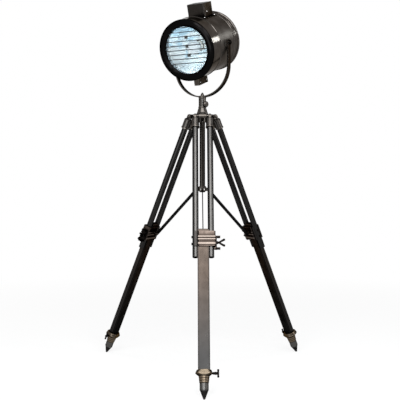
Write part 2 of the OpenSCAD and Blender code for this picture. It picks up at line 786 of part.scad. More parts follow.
// Outer profile of the drum, [radius, distance forward], back to front
drum_outline = [
  [rim_r - 1.5, -drum_back], [rim_r, -drum_back + 1.5], [rim_r, -drum_back + rim_w - 1.5],
  [rim_r - 1.5, -drum_back + rim_w], [back_band_r, -drum_back + rim_w + 1],
  [back_band_r, bead_at[0] - 3], [back_band_r + bead, bead_at[0] - 1],
  [back_band_r + bead, bead_at[0] + 1], [back_band_r, bead_at[0] + 3],
  [back_band_r, -back_band - step], [drum_r, -back_band],
  [drum_r, band_back], [front_band_r + bead, band_back + step],
  [front_band_r + bead, band_back + step + 3], [front_band_r, band_back + step + 5],
  [front_band_r, drum_front]];

drum_inside = [
  [front_band_r - sheet, drum_front], [front_band_r - sheet, band_back + step + sheet],
  [drum_r - sheet, band_back], [drum_r - sheet, -back_band + sheet],
  [back_band_r - sheet, -back_band - step + sheet], [back_band_r - sheet, -drum_back]];

module drum_shell()
  color(bronze) in_head() difference() {
    on_axis(concat(drum_outline, drum_inside));
    // Openings for the tilt pads, the chimney and the connection box
    rotate([0, 90, 0]) cylinder(r = pad_r + seat_gap, h = 3 * drum_r, center = true);
    translate([0, -chimney_back - chimney_l / 2, 0]) linear_extrude(2 * drum_r)
      square([chimney_w - 2 * vent_inset, chimney_l - 2 * vent_inset], center = true);
    translate([0, -box_mid, -2 * drum_r]) linear_extrude(2 * drum_r)
      square([box_w - vent_inset, box_w], center = true);
  }

pad_screw_a = 24;
pad_l = 2 * pad_screw_a + 13;
pad_h = 30;

module pivot_pads()
  color(pewter) in_head() for (side = SIDES) on_side(side) difference() {
    union() {
      along_x(2 * pad_r, pad_in, yoke_in - face_gap - pad_in);
      along_x(2 * pad_r - 10, pad_in - 4, 5);
      // Saddle that lies on the drum, with a flat face for the yoke
      difference() {
        translate([pad_in, 0, 0]) rotate([90, 0, 90])
          linear_extrude(yoke_in - face_gap - pad_in) rounded_rect(pad_l, pad_h, 6);
        drum_cut(seat_gap);
      }
    }
    along_x(tilt_screw_d + 2 * run_gap, pad_in - 5, drum_r);
    for (along = SIDES) translate([0, along * pad_screw_a, 0])
      along_x(screw_head_d + 2 * seat_gap, pad_in, drum_r);
  }

// ---------- Bezel, glass and louvre ----------

bezel_front = drum_front + bezel_depth;
glass_front = drum_front + 4;
glass_r = glass_view_r + 6;
gasket_t = 1.5;
lip_h = 3;
hook_r = front_band_r - sheet - seat_gap;

module front_bezel()
  color(black) in_head() on_axis([
    [glass_view_r, glass_front + face_gap], [glass_view_r, glass_front + lip_h],
    [glass_view_r + 3, bezel_front - 4], [glass_view_r + 9, bezel_front - 0.8],
    [(glass_view_r + bezel_r) / 2, bezel_front], [bezel_r - 8, bezel_front - 1.4],
    [bezel_r - 2, bezel_front - 4.5], [bezel_r, drum_front + 6], [bezel_r, drum_front + seat_gap],
    [hook_r, drum_front + seat_gap], [hook_r, drum_front - 8], [hook_r - 1.5, drum_front - 8],
    [hook_r - 1.5, drum_front + 2], [glass_r + 2.2, drum_front + 2],
    [glass_r + 2.2, glass_front + face_gap]]);

module front_glass()
  color([0.8, 0.9, 0.95, 0.35]) in_head() on_axis([
    [0, glass_front - glass_t + 3], [glass_r * 0.5, glass_front - glass_t + 2.2],
    [glass_r * 0.85, glass_front - glass_t + 0.8], [glass_r, glass_front - glass_t],
    [glass_r, glass_front], [glass_view_r, glass_front],
    [glass_r * 0.85, glass_front + 0.9], [glass_r * 0.5, glass_front + 2.4],
    [0, glass_front + 3.2]]);

module glass_gasket()
  color(black) in_head() on_axis([
    [glass_view_r + 1, glass_front - glass_t - gasket_t], [glass_r + 1.8, glass_front - glass_t - gasket_t],
    [glass_r + 1.8, glass_front], [glass_r + 0.1, glass_front],
    [glass_r + 0.1, glass_front - glass_t - 0.1], [glass_view_r + 1, glass_front - glass_t - 0.1]]);

ring_front = glass_front - glass_t - gasket_t - 0.2;
ring_back = ring_front - slat_depth - 3;
ring_r = glass_view_r + 1.5;
ring_t = 2;

module louvre_ring()
  color(black) in_head() on_axis([
    [ring_r, ring_back], [ring_r + ring_t, ring_back], [ring_r + ring_t, ring_front - 2],
    [hook_r - 2, ring_front - 2], [hook_r - 2, ring_front], [ring_r, ring_front]]);

// Heights of the slats above the lamp's axis
slat_margin = 5;
slat_heights = [for (i = [0 : slat_count - 1]) let (h = slat_low + i * slat_pitch)
  if (abs(h) < ring_r - slat_margin) h];
slat_mid = ring_front - slat_depth / 2 - 1;

module louvre_slats()
  color([0.85, 0.87, 0.9]) in_head() for (h = slat_heights) {
    half = sqrt(pow(ring_r - 0.1, 2) - pow(abs(h) + slat_t / 2, 2));
    translate([0, -slat_mid, h]) cube([2 * half, slat_depth, slat_t], center = true);
  }

clip_w = 9;
clip_t = 2.4;
clip_h = 7;

module louvre_clips()
  color(black) in_head() for (i = [2 : 2 : len(slat_heights) - 1])
    translate([0, -slat_mid + (slat_depth + clip_t) / 2 + 0.05, slat_heights[i]])
      cube([clip_w, clip_t, clip_h], center = true);

// ---------- Reflector and bulb ----------

reflector_front = ring_back - 0.1;
neck_r = 24;
bowl_steps = 10;
bowl_t = 1.2;

// Radius and distance forward of the parabolic bowl, t from 0 at the neck to 1 at the mouth
function bowl(t, out) = let (r = neck_r + (reflector_r - neck_r) * t)
  [r + out, reflector_front - reflector_depth
            + reflector_depth * (r * r - neck_r * neck_r)
              / (reflector_r * reflector_r - neck_r * neck_r)];

module reflector()
  color([0.9, 0.93, 0.97]) in_head() on_axis(concat(
    [for (i = [0 : bowl_steps]) bowl(i / bowl_steps, 0)],
    [[reflector_r + 6, reflector_front], [reflector_r + 6, reflector_front - bowl_t]],
    [for (i = [bowl_steps : -1 : 0]) bowl(i / bowl_steps, bowl_t) - [0, bowl_t]]));

bulb_neck_r = 13;
holder_front = reflector_front - reflector_depth + 4;
bulb_centre = holder_front + 44;

module bulb()
  color([1, 0.97, 0.9]) in_head() on_axis(concat(
    [[0, holder_front - 20.8], [bulb_neck_r - 0.2, holder_front - 20.8],
     [bulb_neck_r - 0.2, holder_front - 2],
     [bulb_neck_r + 0.5, holder_front + 2]],
    [for (a = [-58 : 12 : 86]) [bulb_d / 2 * cos(a), bulb_centre + bulb_d / 2 * sin(a)]],
    [[0, bulb_centre + bulb_d / 2]]));

holder_r = 20;
holder_back = holder_front - 46;

module lampholder()
  color([0.93, 0.92, 0.88]) in_head() on_axis([
    [0, holder_back], [holder_r - 5, holder_back], [holder_r - 1, holder_back + 12],
    [holder_r, holder_back + 16], [holder_r, holder_front - 2], [holder_r - 2, holder_front],
    [bulb_neck_r + 0.2, holder_front - 2], [bulb_neck_r + 0.2, holder_front - 21],
    [0, holder_front - 21]]);

cap_in = drum_back - 2;
dome_h = 16;
bracket_t = 2;
strap_w = 30;
strap_l = 90;
bracket_back = drum_back + dome_h - 4.4;

module holder_bracket()
  color(steel) in_head() {
    // Strap across the back of the drum that carries the lampholder
    translate([0, -holder_back + bracket_t / 2 + seat_gap, 0])
      cube([strap_w, bracket_t, strap_l], center = true);
    for (side = SIDES) translate([0, (bracket_back - holder_back) / 2, side * (strap_l - bracket_t) / 2])
      cube([strap_w, bracket_back + holder_back - 2 * seat_gap, bracket_t], center = true);
  }

cap_r = back_band_r - sheet - seat_gap;
cap_land = 3;
gland_h = -78;
vent_r = 5;

gland_d = 14;
gland_seat = drum_back + 12.4;

module rear_cap()
  color(bronze) in_head() difference() {
    union() {
      on_axis([
        [0, -cap_in], [cap_r, -cap_in], [cap_r, -drum_back - 0.2], [rim_r - 1, -drum_back - 0.2],
        [rim_r - 2, -drum_back - cap_land], [cap_r - 9, -drum_back - cap_land],
        [cap_r - 16, -drum_back - 6],
        [cap_r * 0.6, -drum_back - dome_h + 4.6], [cap_r * 0.3, -drum_back - dome_h + 1.2],
        [0, -drum_back - dome_h]]);
      // Flat boss under the gland
      translate([0, gland_seat, gland_h]) rotate([90, 0, 0]) cylinder(r = gland_d - 1, h = 10);
    }
    // Hollow of the pressed dome
    on_axis([
      [0, -cap_in + 1], [cap_r - 12, -cap_in + 1], [cap_r - 17, -drum_back - 3.6],
      [cap_r * 0.6, -drum_back - dome_h + 6.6], [cap_r * 0.3, -drum_back - dome_h + 3.2],
      [0, -drum_back - dome_h + 2]]);
    // Ring of air holes and the hole for the gland
    for (a = [0 : 30 : 330]) if (a != 270) rotate([0, a, 0])
      translate([cap_r * 0.72, drum_back, 0]) rotate([90, 0, 0])
        cylinder(r = vent_r, h = 4 * dome_h, center = true);
    translate([0, drum_back, gland_h]) rotate([90, 0, 0])
      cylinder(d = gland_d + 2 * seat_gap, h = 4 * dome_h, center = true);
  }

module cable_gland()
  color(black) in_head() translate([0, 0, gland_h]) difference() {
    on_axis([
      [0, -gland_seat - 15], [gland_d / 2 - 1.5, -gland_seat - 15], [gland_d / 2 + 1, -gland_seat - 3.5],
      [gland_d / 2 + 3, -gland_seat - 3], [gland_d / 2 + 3, -gland_seat - 0.1],
      [gland_d / 2, -gland_seat - 0.1], [gland_d / 2, -gland_seat + 8], [0, -gland_seat + 8]]);
    rotate([90, 0, 0]) cylinder(d = 7.4, h = 4 * drum_back, center = true);
  }

// ---------- Chimney and connection box ----------

chimney_mid = chimney_back + chimney_l / 2;
vent_sheet = 1.6;

module drum_cut(extra) rotate([90, 0, 0])
  cylinder(r = drum_r + extra, h = 4 * drum_r, center = true, $fn = 128);

module chimney()
  color(bronze) in_head() {
    difference() {
      union() {
        translate([0, -chimney_mid, 0]) linear_extrude(chimney_top)
          rounded_rect(chimney_w, chimney_l, chimney_corner);
        // Curved saddle that lies on the drum round the base
        intersection() {
          translate([0, -saddle_mid, 0]) along_y(2 * (drum_r + saddle_t), saddle_l);
          translate([0, -saddle_mid, drum_r])
            cube([chimney_w + 2 * saddle_lip, saddle_l + 1, drum_r], center = true);
        }
      }
      drum_cut(seat_gap);
      translate([0, -chimney_mid, 0]) linear_extrude(chimney_top - vent_sheet)
        rounded_rect(chimney_w - 2 * vent_sheet, chimney_l - 2 * vent_sheet,
                     chimney_corner - vent_sheet);
      // Air slots in the back
      for (i = [0 : 3]) translate([0, -chimney_back, chimney_top - 14 - 8 * i])
        cube([chimney_w - 2 * chimney_corner - 6, 6 * vent_sheet, 3.4], center = true);
    }
  }

saddle_t = 2;
saddle_lip = 16;
saddle_back = chimney_back - 2;
saddle_front = chimney_back + chimney_l + 32;
saddle_l = saddle_front - saddle_back;
saddle_mid = (saddle_front + saddle_back) / 2;
saddle_screw_q = chimney_w / 2 + saddle_lip / 2;
lid_screw_h = drum_r + 12.5;

module chimney_baffle()
  color(black) in_head() translate([0, -chimney_mid, 0]) {
    difference() {
      translate([0, 0, chimney_top - 17]) linear_extrude(vent_sheet)
        rounded_rect(chimney_w - 2 * vent_sheet - 0.6, chimney_l - 16, 6);
      cylinder(d = 12, h = 2 * chimney_top);
    }
  }

box_front = 99;
box_mid = box_front - box_l / 2;

module connection_box()
  color(bronze) in_head() difference() {
    translate([0, -box_mid, -box_bottom]) linear_extrude(box_bottom - drum_r + 8)
      rounded_rect(box_w, box_l, 3);
    translate([0, -box_mid, -box_bottom + 2]) linear_extrude(box_bottom)
      square([box_w - 4, box_l - 4], center = true);
    drum_cut(seat_gap);
    on_axis([[0, band_back - seat_gap], [drum_r, band_back - seat_gap],
             [front_band_r + bead + seat_gap, band_back + step - seat_gap],
             [front_band_r + bead + seat_gap, band_back + step + 3 + seat_gap],
             [front_band_r + seat_gap, band_back + step + 5 + seat_gap],
             [front_band_r + seat_gap, drum_front], [0, drum_front]]);
  }

screw_head_d = 7;

module head_screw(d) rotate_extrude() polygon([
  [0, 0], [d / 2, 0], [d / 2, 0.8], [d / 2 - 0.9, 2], [0, 2.6]]);

module head_screws()
  color(steel) in_head() {
    // On the saddle of the chimney, and on the sides of its hood
    for (side = SIDES) for (along = SIDES)
      translate([0, -saddle_mid + along * (saddle_l / 2 - 8), 0])
        rotate([0, side * asin(saddle_screw_q / (drum_r + saddle_t)), 0])
          translate([0, 0, drum_r + saddle_t + 0.05]) head_screw(screw_head_d);
    for (side = SIDES)
      translate([side * (chimney_w / 2 + 0.05), -chimney_back - chimney_l + 18, lid_screw_h])
        rotate([0, side * 90, 0]) head_screw(screw_head_d);
    // Flush in the pads of the tilt pivots
    for (side = SIDES) for (along = SIDES) on_side(side)
      translate([0, along * pad_screw_a, 0]) along_x(screw_head_d, drum_r + 0.1, 1.2);
    for (side = SIDES) for (along = SIDES)
      translate([side * (box_w / 2 + 0.05), -box_mid + along * (box_l / 2 - 12), -box_bottom + 12])
        rotate([0, side * 90, 0]) head_screw(screw_head_d);
    for (a = [45 : 90 : 315]) rotate([0, a, 0]) translate([cap_r - 4, drum_back + cap_land + 0.05, 0])
      rotate([-90, 0, 0]) head_screw(screw_head_d);
  }

// ---------- Build ----------

drum_shell();
front_bezel();
front_glass();
glass_gasket();
louvre_ring();
louvre_slats();
louvre_clips();
reflector();
bulb();
lampholder();
holder_bracket();
rear_cap();
chimney();
chimney_baffle();
connection_box();
pivot_pads();
head_screws();
cable_gland();
yoke_bar();
spigot();
finial_nut();
tilt_screw(-1);  // tilt_screw_left
tilt_screw(1);  // tilt_screw_right
hub_casting();
socket();
socket_screw();
hinge_pins();
column_tube();
column_cap();
brace_collar();
collar_pins();
ferrules(FRONT);  // front_ferrules
rods(FRONT);  // front_rods
clamp(FRONT);  // front_clamp
clamp_screw(FRONT);  // front_clamp_screw
board(FRONT);  // front_board
foot(FRONT);  // front_foot
spike(FRONT);  // front_spike
foot_screw(FRONT);  // front_foot_screw
strut(FRONT);  // front_strut
ferrules(LEFT);  // left_ferrules
rods(LEFT);  // left_rods
clamp(LEFT);  // left_clamp
clamp_screw(LEFT);  // left_clamp_screw
board(LEFT);  // left_board
foot(LEFT);  // left_foot
spike(LEFT);  // left_spike
foot_screw(LEFT);  // left_foot_screw
strut(LEFT);  // left_strut
ferrules(RIGHT);  // right_ferrules
rods(RIGHT);  // right_rods
clamp(RIGHT);  // right_clamp
clamp_screw(RIGHT);  // right_clamp_screw
board(RIGHT);  // right_board
foot(RIGHT);  // right_foot
spike(RIGHT);  // right_spike
foot_screw(RIGHT);  // right_foot_screw
strut(RIGHT);  // right_strut
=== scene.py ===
import bpy
import bmesh
import math
from mathutils import Matrix, Vector


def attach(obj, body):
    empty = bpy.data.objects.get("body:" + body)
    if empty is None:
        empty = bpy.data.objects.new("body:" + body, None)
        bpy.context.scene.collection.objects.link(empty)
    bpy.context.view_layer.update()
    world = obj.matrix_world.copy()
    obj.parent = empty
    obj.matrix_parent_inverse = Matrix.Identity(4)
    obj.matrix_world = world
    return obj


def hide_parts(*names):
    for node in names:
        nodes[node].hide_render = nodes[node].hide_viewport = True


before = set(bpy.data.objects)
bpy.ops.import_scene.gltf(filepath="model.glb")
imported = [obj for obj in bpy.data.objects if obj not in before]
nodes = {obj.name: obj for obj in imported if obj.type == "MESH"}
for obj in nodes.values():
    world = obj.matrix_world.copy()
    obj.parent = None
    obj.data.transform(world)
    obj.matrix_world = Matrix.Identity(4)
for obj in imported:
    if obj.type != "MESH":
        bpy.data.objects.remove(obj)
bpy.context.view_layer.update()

# ---------------------------------------------------------------- places and sizes, in metres
LEGS = ("front", "left", "right")
AZIMUTH = {"front": -90, "left": 150, "right": 30}
LEAN = math.radians(23.4)
HINGE_OUT, HINGE_HEIGHT = 0.046, 1.08295

# Each leg's directions at rest, and the middle of its hinge
SIDEWAYS, DOWNWARD, OUTWARD, HINGE = {}, {}, {}, {}
for leg, azimuth in AZIMUTH.items():
    spin = Matrix.Rotation(math.radians(azimuth), 3, "Z")
    SIDEWAYS[leg] = spin @ Vector((0, 1, 0))
    DOWNWARD[leg] = spin @ Vector((math.sin(LEAN), 0, -math.cos(LEAN)))
    OUTWARD[leg] = spin @ Vector((math.cos(LEAN), 0, math.sin(LEAN)))
    HINGE[leg] = spin @ Vector((HINGE_OUT, 0, HINGE_HEIGHT))

# Distances down a leg from its hinge. A rib is given by its share of the clamp's height and
# by half of its own height.
CLAMP_TOP, CLAMP_HEIGHT = 0.523, 0.063
RIBS = ((0.38, 0.0033), (0.555, 0.0030), (0.835, 0.0045))
RIB_ROUND = 0.0008
FLANGE, COLLAR, BANDS_END = 1.084, 1.095, 1.121
FOOT_BANDS = 3
PAST_LEG_END = 1.3

# The head as it stands at rest
HEAD_PAN = math.radians(-30)
HEAD_TILT = math.radians(17.5)
PIVOT = Vector((0, 0, 1.39135))
HEAD = (Matrix.Translation(PIVOT) @ Matrix.Rotation(HEAD_PAN, 4, "Z")
        @ Matrix.Rotation(HEAD_TILT, 4, "X"))
SLAT_FRONT, SLAT_LOWEST, SLAT_PITCH, SLATS = 0.1353, -0.055, 0.0185, 9
BOWL_R, BOWL_NECK, BOWL_FRONT, BOWL_DEPTH, BOWL_LIP = 0.100, 0.024, 0.1182, 0.088, 0.1058
BOWL_COLUMNS = 48
GROOVE_PITCH = 0.011


# ---------------------------------------------------------------- node helpers
class Mat:
    """A Principled material built up socket by socket.

    A value is a pair of a node and the name or number of its output.
    """

    def __init__(self, name):
        self.mat = bpy.data.materials.new(name)
        self.mat.use_nodes = True
        self.tree = self.mat.node_tree
        self.tree.nodes.clear()
        self.out = self.node("ShaderNodeOutputMaterial")
        self.bsdf = self.node("ShaderNodeBsdfPrincipled")
        self.link((self.bsdf, "BSDF"), self.out, "Surface")
        self.base = None

    def node(self, kind, **values):
        n = self.tree.nodes.new(kind)
        for key, value in values.items():
            setattr(n, key, value)
        return n

    def link(self, value, node, socket):
        source, output = value
        self.tree.links.new(source.outputs[output], node.inputs[socket])

    def set(self, **values):
        for key, value in values.items():
            self.bsdf.inputs[key.replace("_", " ")].default_value = value

    def to(self, value, socket):
        self.link(value, self.bsdf, socket)

    def colour(self, value):
        self.base = value
        self.to(value, "Base Color")

    def paint(self, share, colour):
        """Lay a colour over the base colour where the share is one."""
        self.colour(self.mix(share, self.base, colour))

    def coords(self, matrix=None, scale=(1, 1, 1)):
        """Object coordinates, in the frame of the given matrix, and then scaled."""
        value = self.node("ShaderNodeTexCoord"), "Object"
        if matrix is not None:
            inverse = matrix.inverted()
            m = self.node("ShaderNodeMapping")
            m.inputs["Location"].default_value = inverse.to_translation()
            m.inputs["Rotation"].default_value = inverse.to_euler("XYZ")
            self.link(value, m, "Vector")
            value = m, "Vector"
        if scale != (1, 1, 1):
            m = self.node("ShaderNodeMapping")
            m.inputs["Scale"].default_value = scale
            self.link(value, m, "Vector")
            value = m, "Vector"
        return value

    def axis(self, name, matrix):
        """One of the object coordinates in the frame of the given matrix."""
        split = self.node("ShaderNodeSeparateXYZ")
        self.link(self.coords(matrix), split, "Vector")
        return split, name

    def noise(self, scale, detail, rough, matrix=None, stretch=(1, 1, 1), distortion=0.0):
        n = self.node("ShaderNodeTexNoise")
        n.inputs["Scale"].default_value = scale
        n.inputs["Detail"].default_value = detail
        n.inputs["Roughness"].default_value = rough
        n.inputs["Distortion"].default_value = distortion
        self.link(self.coords(matrix, stretch), n, "Vector")
        return n, "Fac"

    def ramp(self, value, low, dark, high, light):
        """The dark colour up to low, and then over to the light one at high."""
        r = self.node("ShaderNodeValToRGB")
        for element, place, colour in zip(r.color_ramp.elements, (low, high), (dark, light)):
            element.position = place
            element.color = (*colour, 1)
        self.link(value, r, "Fac")
        return r, "Color"

    def range(self, value, a, b, low=0.0, high=1.0):
        """From a at low to b at high, and held at both ends."""
        m = self.node("ShaderNodeMapRange")
        m.inputs["From Min"].default_value = low
        m.inputs["From Max"].default_value = high
        m.inputs["To Min"].default_value = a
        m.inputs["To Max"].default_value = b
        self.link(value, m, "Value")
        return m, "Result"

    def math(self, operation, a, b=None):
        m = self.node("ShaderNodeMath", operation=operation)
        for socket, v in enumerate((a, b)):
            if isinstance(v, tuple):
                self.link(v, m, socket)
            elif v is not None:
                m.inputs[socket].default_value = v
        return m, "Value"

    def mix(self, share, a, b):
        """Mixed colours, each a value or a colour of its own: b where the share is one."""
        m = self.node("ShaderNodeMix", data_type="RGBA")
        self.link(share, m, 0)
        for socket, v in ((6, a), (7, b)):
            if isinstance(v[0], (int, float)):
                m.inputs[socket].default_value = (*v, 1)
            else:
                self.link(v, m, socket)
        return m, 2

    def mix_number(self, share, a, number):
        """The value a, and the number where the share is one."""
        m = self.node("ShaderNodeMix", data_type="FLOAT")
        self.link(share, m, 0)
        self.link(a, m, 2)
        m.inputs[3].default_value = number
        return m, 0

    def bump(self, height, strength, distance, after=None):
        b = self.node("ShaderNodeBump")
        b.inputs["Strength"].default_value = strength
        b.inputs["Distance"].default_value = distance
        self.link(height, b, "Height")
        if after is not None:
            self.link(after, b, "Normal")
        return b, "Normal"

    def soft_edges(self, radius):
        """Rounded normals along the edges."""
        b = self.node("ShaderNodeBevel", samples=4)
        b.inputs["Radius"].default_value = radius
        return b, "Normal"

    def dot(self, output, direction):
        """The piece's own point or normal, measured along a direction."""
        d = self.node("ShaderNodeVectorMath", operation="DOT_PRODUCT")
        self.link((self.node("ShaderNodeTexCoord"), output), d, 0)
        d.inputs[1].default_value = direction
        return d, "Value"

    def across_leg(self, leg):
        """Distance to the side of the leg's middle plane."""
        return self.dot("Object", SIDEWAYS[leg])

    def down_leg(self, leg):
        """Distance down the leg from its hinge."""
        start = HINGE[leg].dot(DOWNWARD[leg])
        return self.math("SUBTRACT", self.dot("Object", DOWNWARD[leg]), start)

    def strip(self, value, low, high, soft=0.0006):
        """One between the two distances and nothing outside them."""
        a = self.range(value, 0.0, 1.0, low - soft, low + soft)
        b = self.range(value, 1.0, 0.0, high - soft, high + soft)
        return self.math("MULTIPLY", a, b)


# ---------------------------------------------------------------- materials
def plated(name, colour, rough, wear=None, tint=0.25, matrix=None, mottle=0.25, radius=0.0007):
    """Plated metal: mottled colour, worn edges, painted shade in the corners, fine handling
    marks.

    Wear is its colour, its amount, and how sharp an edge is where it starts.
    """
    m = Mat(name)
    m.set(Metallic=1.0, Specular_Tint=(tint, tint, tint, 1))
    dark = tuple(c * (1 - mottle) for c in colour)
    light = tuple(c * (1 + mottle) for c in colour)
    m.colour(m.ramp(m.noise(9.0, 6, 0.6, matrix), 0.3, dark, 0.7, light))
    if wear:
        worn_colour, amount, edge = wear
        sharpness = m.node("ShaderNodeNewGeometry"), "Pointiness"
        worn = m.math("MULTIPLY", m.range(sharpness, 0.0, 1.0, edge, edge + 0.06),
                      m.range(m.noise(60.0, 5, 0.65, matrix), 0.3, 1.3, 0.35, 0.65))
        m.paint(m.math("MINIMUM", m.math("MULTIPLY", worn, amount), 1.0), worn_colour)
    # Painted shade: corners and creases darkened where the ambient occlusion finds them
    corner_shade = m.node("ShaderNodeAmbientOcclusion", samples=4)
    corner_shade.inputs["Distance"].default_value = 0.006
    m.paint(m.range((corner_shade, "AO"), 1.0, 0.0, 0.35, 0.85), tuple(c * 0.25 for c in colour))
    cloud = m.noise(38.0, 5, 0.6, matrix)
    m.to(m.range(cloud, rough * 0.75, rough * 1.3, 0.3, 0.7), "Roughness")
    marks = m.noise(420.0, 3, 0.5, matrix)
    m.to(m.bump(marks, 0.05, 0.0004, m.soft_edges(radius)), "Normal")
    return m


def lacquer(name, dark, light, grain, rough):
    """Near-black mirror finish over wood, with its grain drawn out along the piece."""
    m = Mat(name)
    m.set(Metallic=1.0, Specular_Tint=(0.1, 0.1, 0.1, 1))
    m.colour(m.ramp(m.noise(14.0, 6, 0.62, None, (1, 1, grain), 0.6), 0.32, dark, 0.68, light))
    m.to(m.range(m.noise(30.0, 4, 0.6), rough * 0.8, rough * 1.3, 0.3, 0.7), "Roughness")
    waves = m.noise(3.0, 2, 0.5, None, (1, 1, 0.4))
    m.to(m.bump(waves, 0.06, 0.003, m.soft_edges(0.0008)), "Normal")
    return m


def moulded(name, grain, dark, light, rough, **sockets):
    """Rubber, porcelain or opal glass: slightly cloudy in its colour and its gloss."""
    m = Mat(name)
    m.set(**sockets)
    cloud = m.noise(*grain)
    m.colour(m.ramp(cloud, 0.3, dark, 0.7, light))
    m.to(m.range(cloud, *rough, 0.3, 0.7), "Roughness")
    return m


def drum_bronze():
    """Mottled, slightly wavy bronze with faint spinning lines, polished on its end bands."""
    m = Mat("drum_bronze")
    m.set(Metallic=1.0, Specular_Tint=(0.50, 0.48, 0.46, 1))
    cloud = m.noise(15.0, 6, 0.6, HEAD)
    m.colour(m.ramp(cloud, 0.36, (0.040, 0.036, 0.033), 0.64, (0.080, 0.072, 0.066)))
    back = m.axis("Y", HEAD)
    polished = m.math("MAXIMUM", m.range(back, 0.0, 1.0, -0.066, -0.072),
                      m.range(back, 0.0, 1.0, 0.062, 0.066))
    body = m.range(m.noise(26.0, 5, 0.6, HEAD), 0.30, 0.42, 0.3, 0.7)
    m.to(m.mix_number(polished, body, 0.16), "Roughness")
    lines = m.node("ShaderNodeTexNoise", noise_dimensions="1D")
    lines.inputs["Scale"].default_value = 900.0
    lines.inputs["Detail"].default_value = 3.0
    m.link(back, lines, "W")
    spun = m.bump((lines, "Fac"), 0.06, 0.0003, m.soft_edges(0.0008))
    m.to(m.bump(m.noise(9.0, 3, 0.5, HEAD), 0.22, 0.005, spun), "Normal")
    return m


def clamp_metal(leg):
    """Bronze plates with painted highlights on the ribs, blackened at the flanges and bolts on
    both sides.
    """
    m = plated(f"clamp_bronze_{leg}", (0.0215, 0.0165, 0.0140), 0.26,
               wear=((0.10, 0.080, 0.068), 0.6, 0.52), tint=0.2, mottle=0.15)
    across, down = m.across_leg(leg), m.down_leg(leg)
    # Painted highlights along the three ribs
    for share, half in RIBS:
        middle = CLAMP_TOP + CLAMP_HEIGHT * share
        flat = half - RIB_ROUND
        m.paint(m.strip(down, middle - flat, middle + flat), (0.102, 0.085, 0.074))
    m.paint(m.range(across, 1.0, 0.0, -0.0235, -0.0225), (0.020, 0.0185, 0.0175))
    screw_side = m.range(across, 0.0, 1.0, 0.0490, 0.0505)
    bolt_side = m.range(across, 1.0, 0.0, -0.0445, -0.0435)
    m.paint(m.math("MAXIMUM", screw_side, bolt_side), (0.008, 0.0065, 0.006))
    return m


def foot_metal(leg):
    """Bronze flange and banded cup with painted highlights, painted shade as dark lines between
    the bands, and a grey shank lightened as a painted highlight.
    """
    m = plated(f"foot_bronze_{leg}", (0.044, 0.036, 0.028), 0.24,
               wear=((0.16, 0.12, 0.08), 0.6, 0.52), tint=0.2, mottle=0.15)
    down = m.down_leg(leg)
    # Painted highlight along the flange
    m.paint(m.strip(down, FLANGE - 0.0016, FLANGE + 0.0040), (0.100, 0.078, 0.056))
    # Painted highlights on the banded cup
    m.paint(m.strip(down, COLLAR, BANDS_END - 0.002), (0.105, 0.081, 0.058))
    # Painted shade in the grooves between the bands
    for k in range(FOOT_BANDS + 1):
        line = COLLAR + (BANDS_END - COLLAR) * k / FOOT_BANDS
        m.paint(m.strip(down, line - 0.0014, line + 0.0006), (0.007, 0.006, 0.005))
    # Grey shank, lightened as a painted highlight
    m.paint(m.strip(down, BANDS_END + 0.001, PAST_LEG_END), (0.070, 0.067, 0.064))
    return m


def board_lacquer(leg):
    """Warm where the board leaves the clamp and greyer lower down, a painted fall-off of the key
    light's reflection, with painted shade along its two edges.
    """
    m = lacquer(f"board_lacquer_{leg}", (0.030, 0.0235, 0.0195), (0.043, 0.0345, 0.029),
                0.06, 0.32)
    # Painted fall-off of the highlight: greyer lower down the board
    m.paint(m.range(m.down_leg(leg), 0.0, 1.0, 0.70, 1.02), (0.027, 0.026, 0.0255))
    # Painted shade along the two grooved edges
    side = m.math("ABSOLUTE", m.across_leg(leg))
    m.paint(m.strip(side, 0.0183, 0.0200), (0.014, 0.0125, 0.012))
    m.paint(m.range(side, 0.0, 0.8, 0.0212, 0.0218), (0.010, 0.009, 0.009))
    return m


def rod_lacquer(leg):
    """Blackened rods, with a painted highlight along their outer side."""
    m = lacquer(f"rod_lacquer_{leg}", (0.0150, 0.0145, 0.0140), (0.0225, 0.0218, 0.021),
                0.10, 0.22)
    # Painted highlight on the side that faces out from the lamp
    m.paint(m.range(m.dot("Normal", OUTWARD[leg]), 0.0, 1.0, 0.66, 0.92), (0.046, 0.045, 0.0435))
    return m


def slat_finish():
    """Pale slats, with painted shade on their upper faces and their front edges."""
    m = Mat("louvre_metal")
    m.set(Metallic=1.0)
    # Masks for painted shade on the front edges and the upward faces
    shaded_front_edge = m.range(m.axis("Y", HEAD), 1.0, 0.0, -SLAT_FRONT + 0.002, -SLAT_FRONT + 0.004)
    shaded_top = m.range(m.dot("Normal", HEAD.to_3x3() @ Vector((0, 0, 1))), 0.0, 1.0, 0.3, 0.5)
    cloud = m.noise(30.0, 4, 0.6, HEAD)
    m.colour(m.ramp(cloud, 0.3, (0.40, 0.50, 0.58), 0.7, (0.52, 0.60, 0.67)))
    m.paint(m.math("MAXIMUM", shaded_front_edge, shaded_top), (0.020, 0.034, 0.048))
    m.to(m.range(cloud, 0.24, 0.36, 0.3, 0.7), "Roughness")
    return m


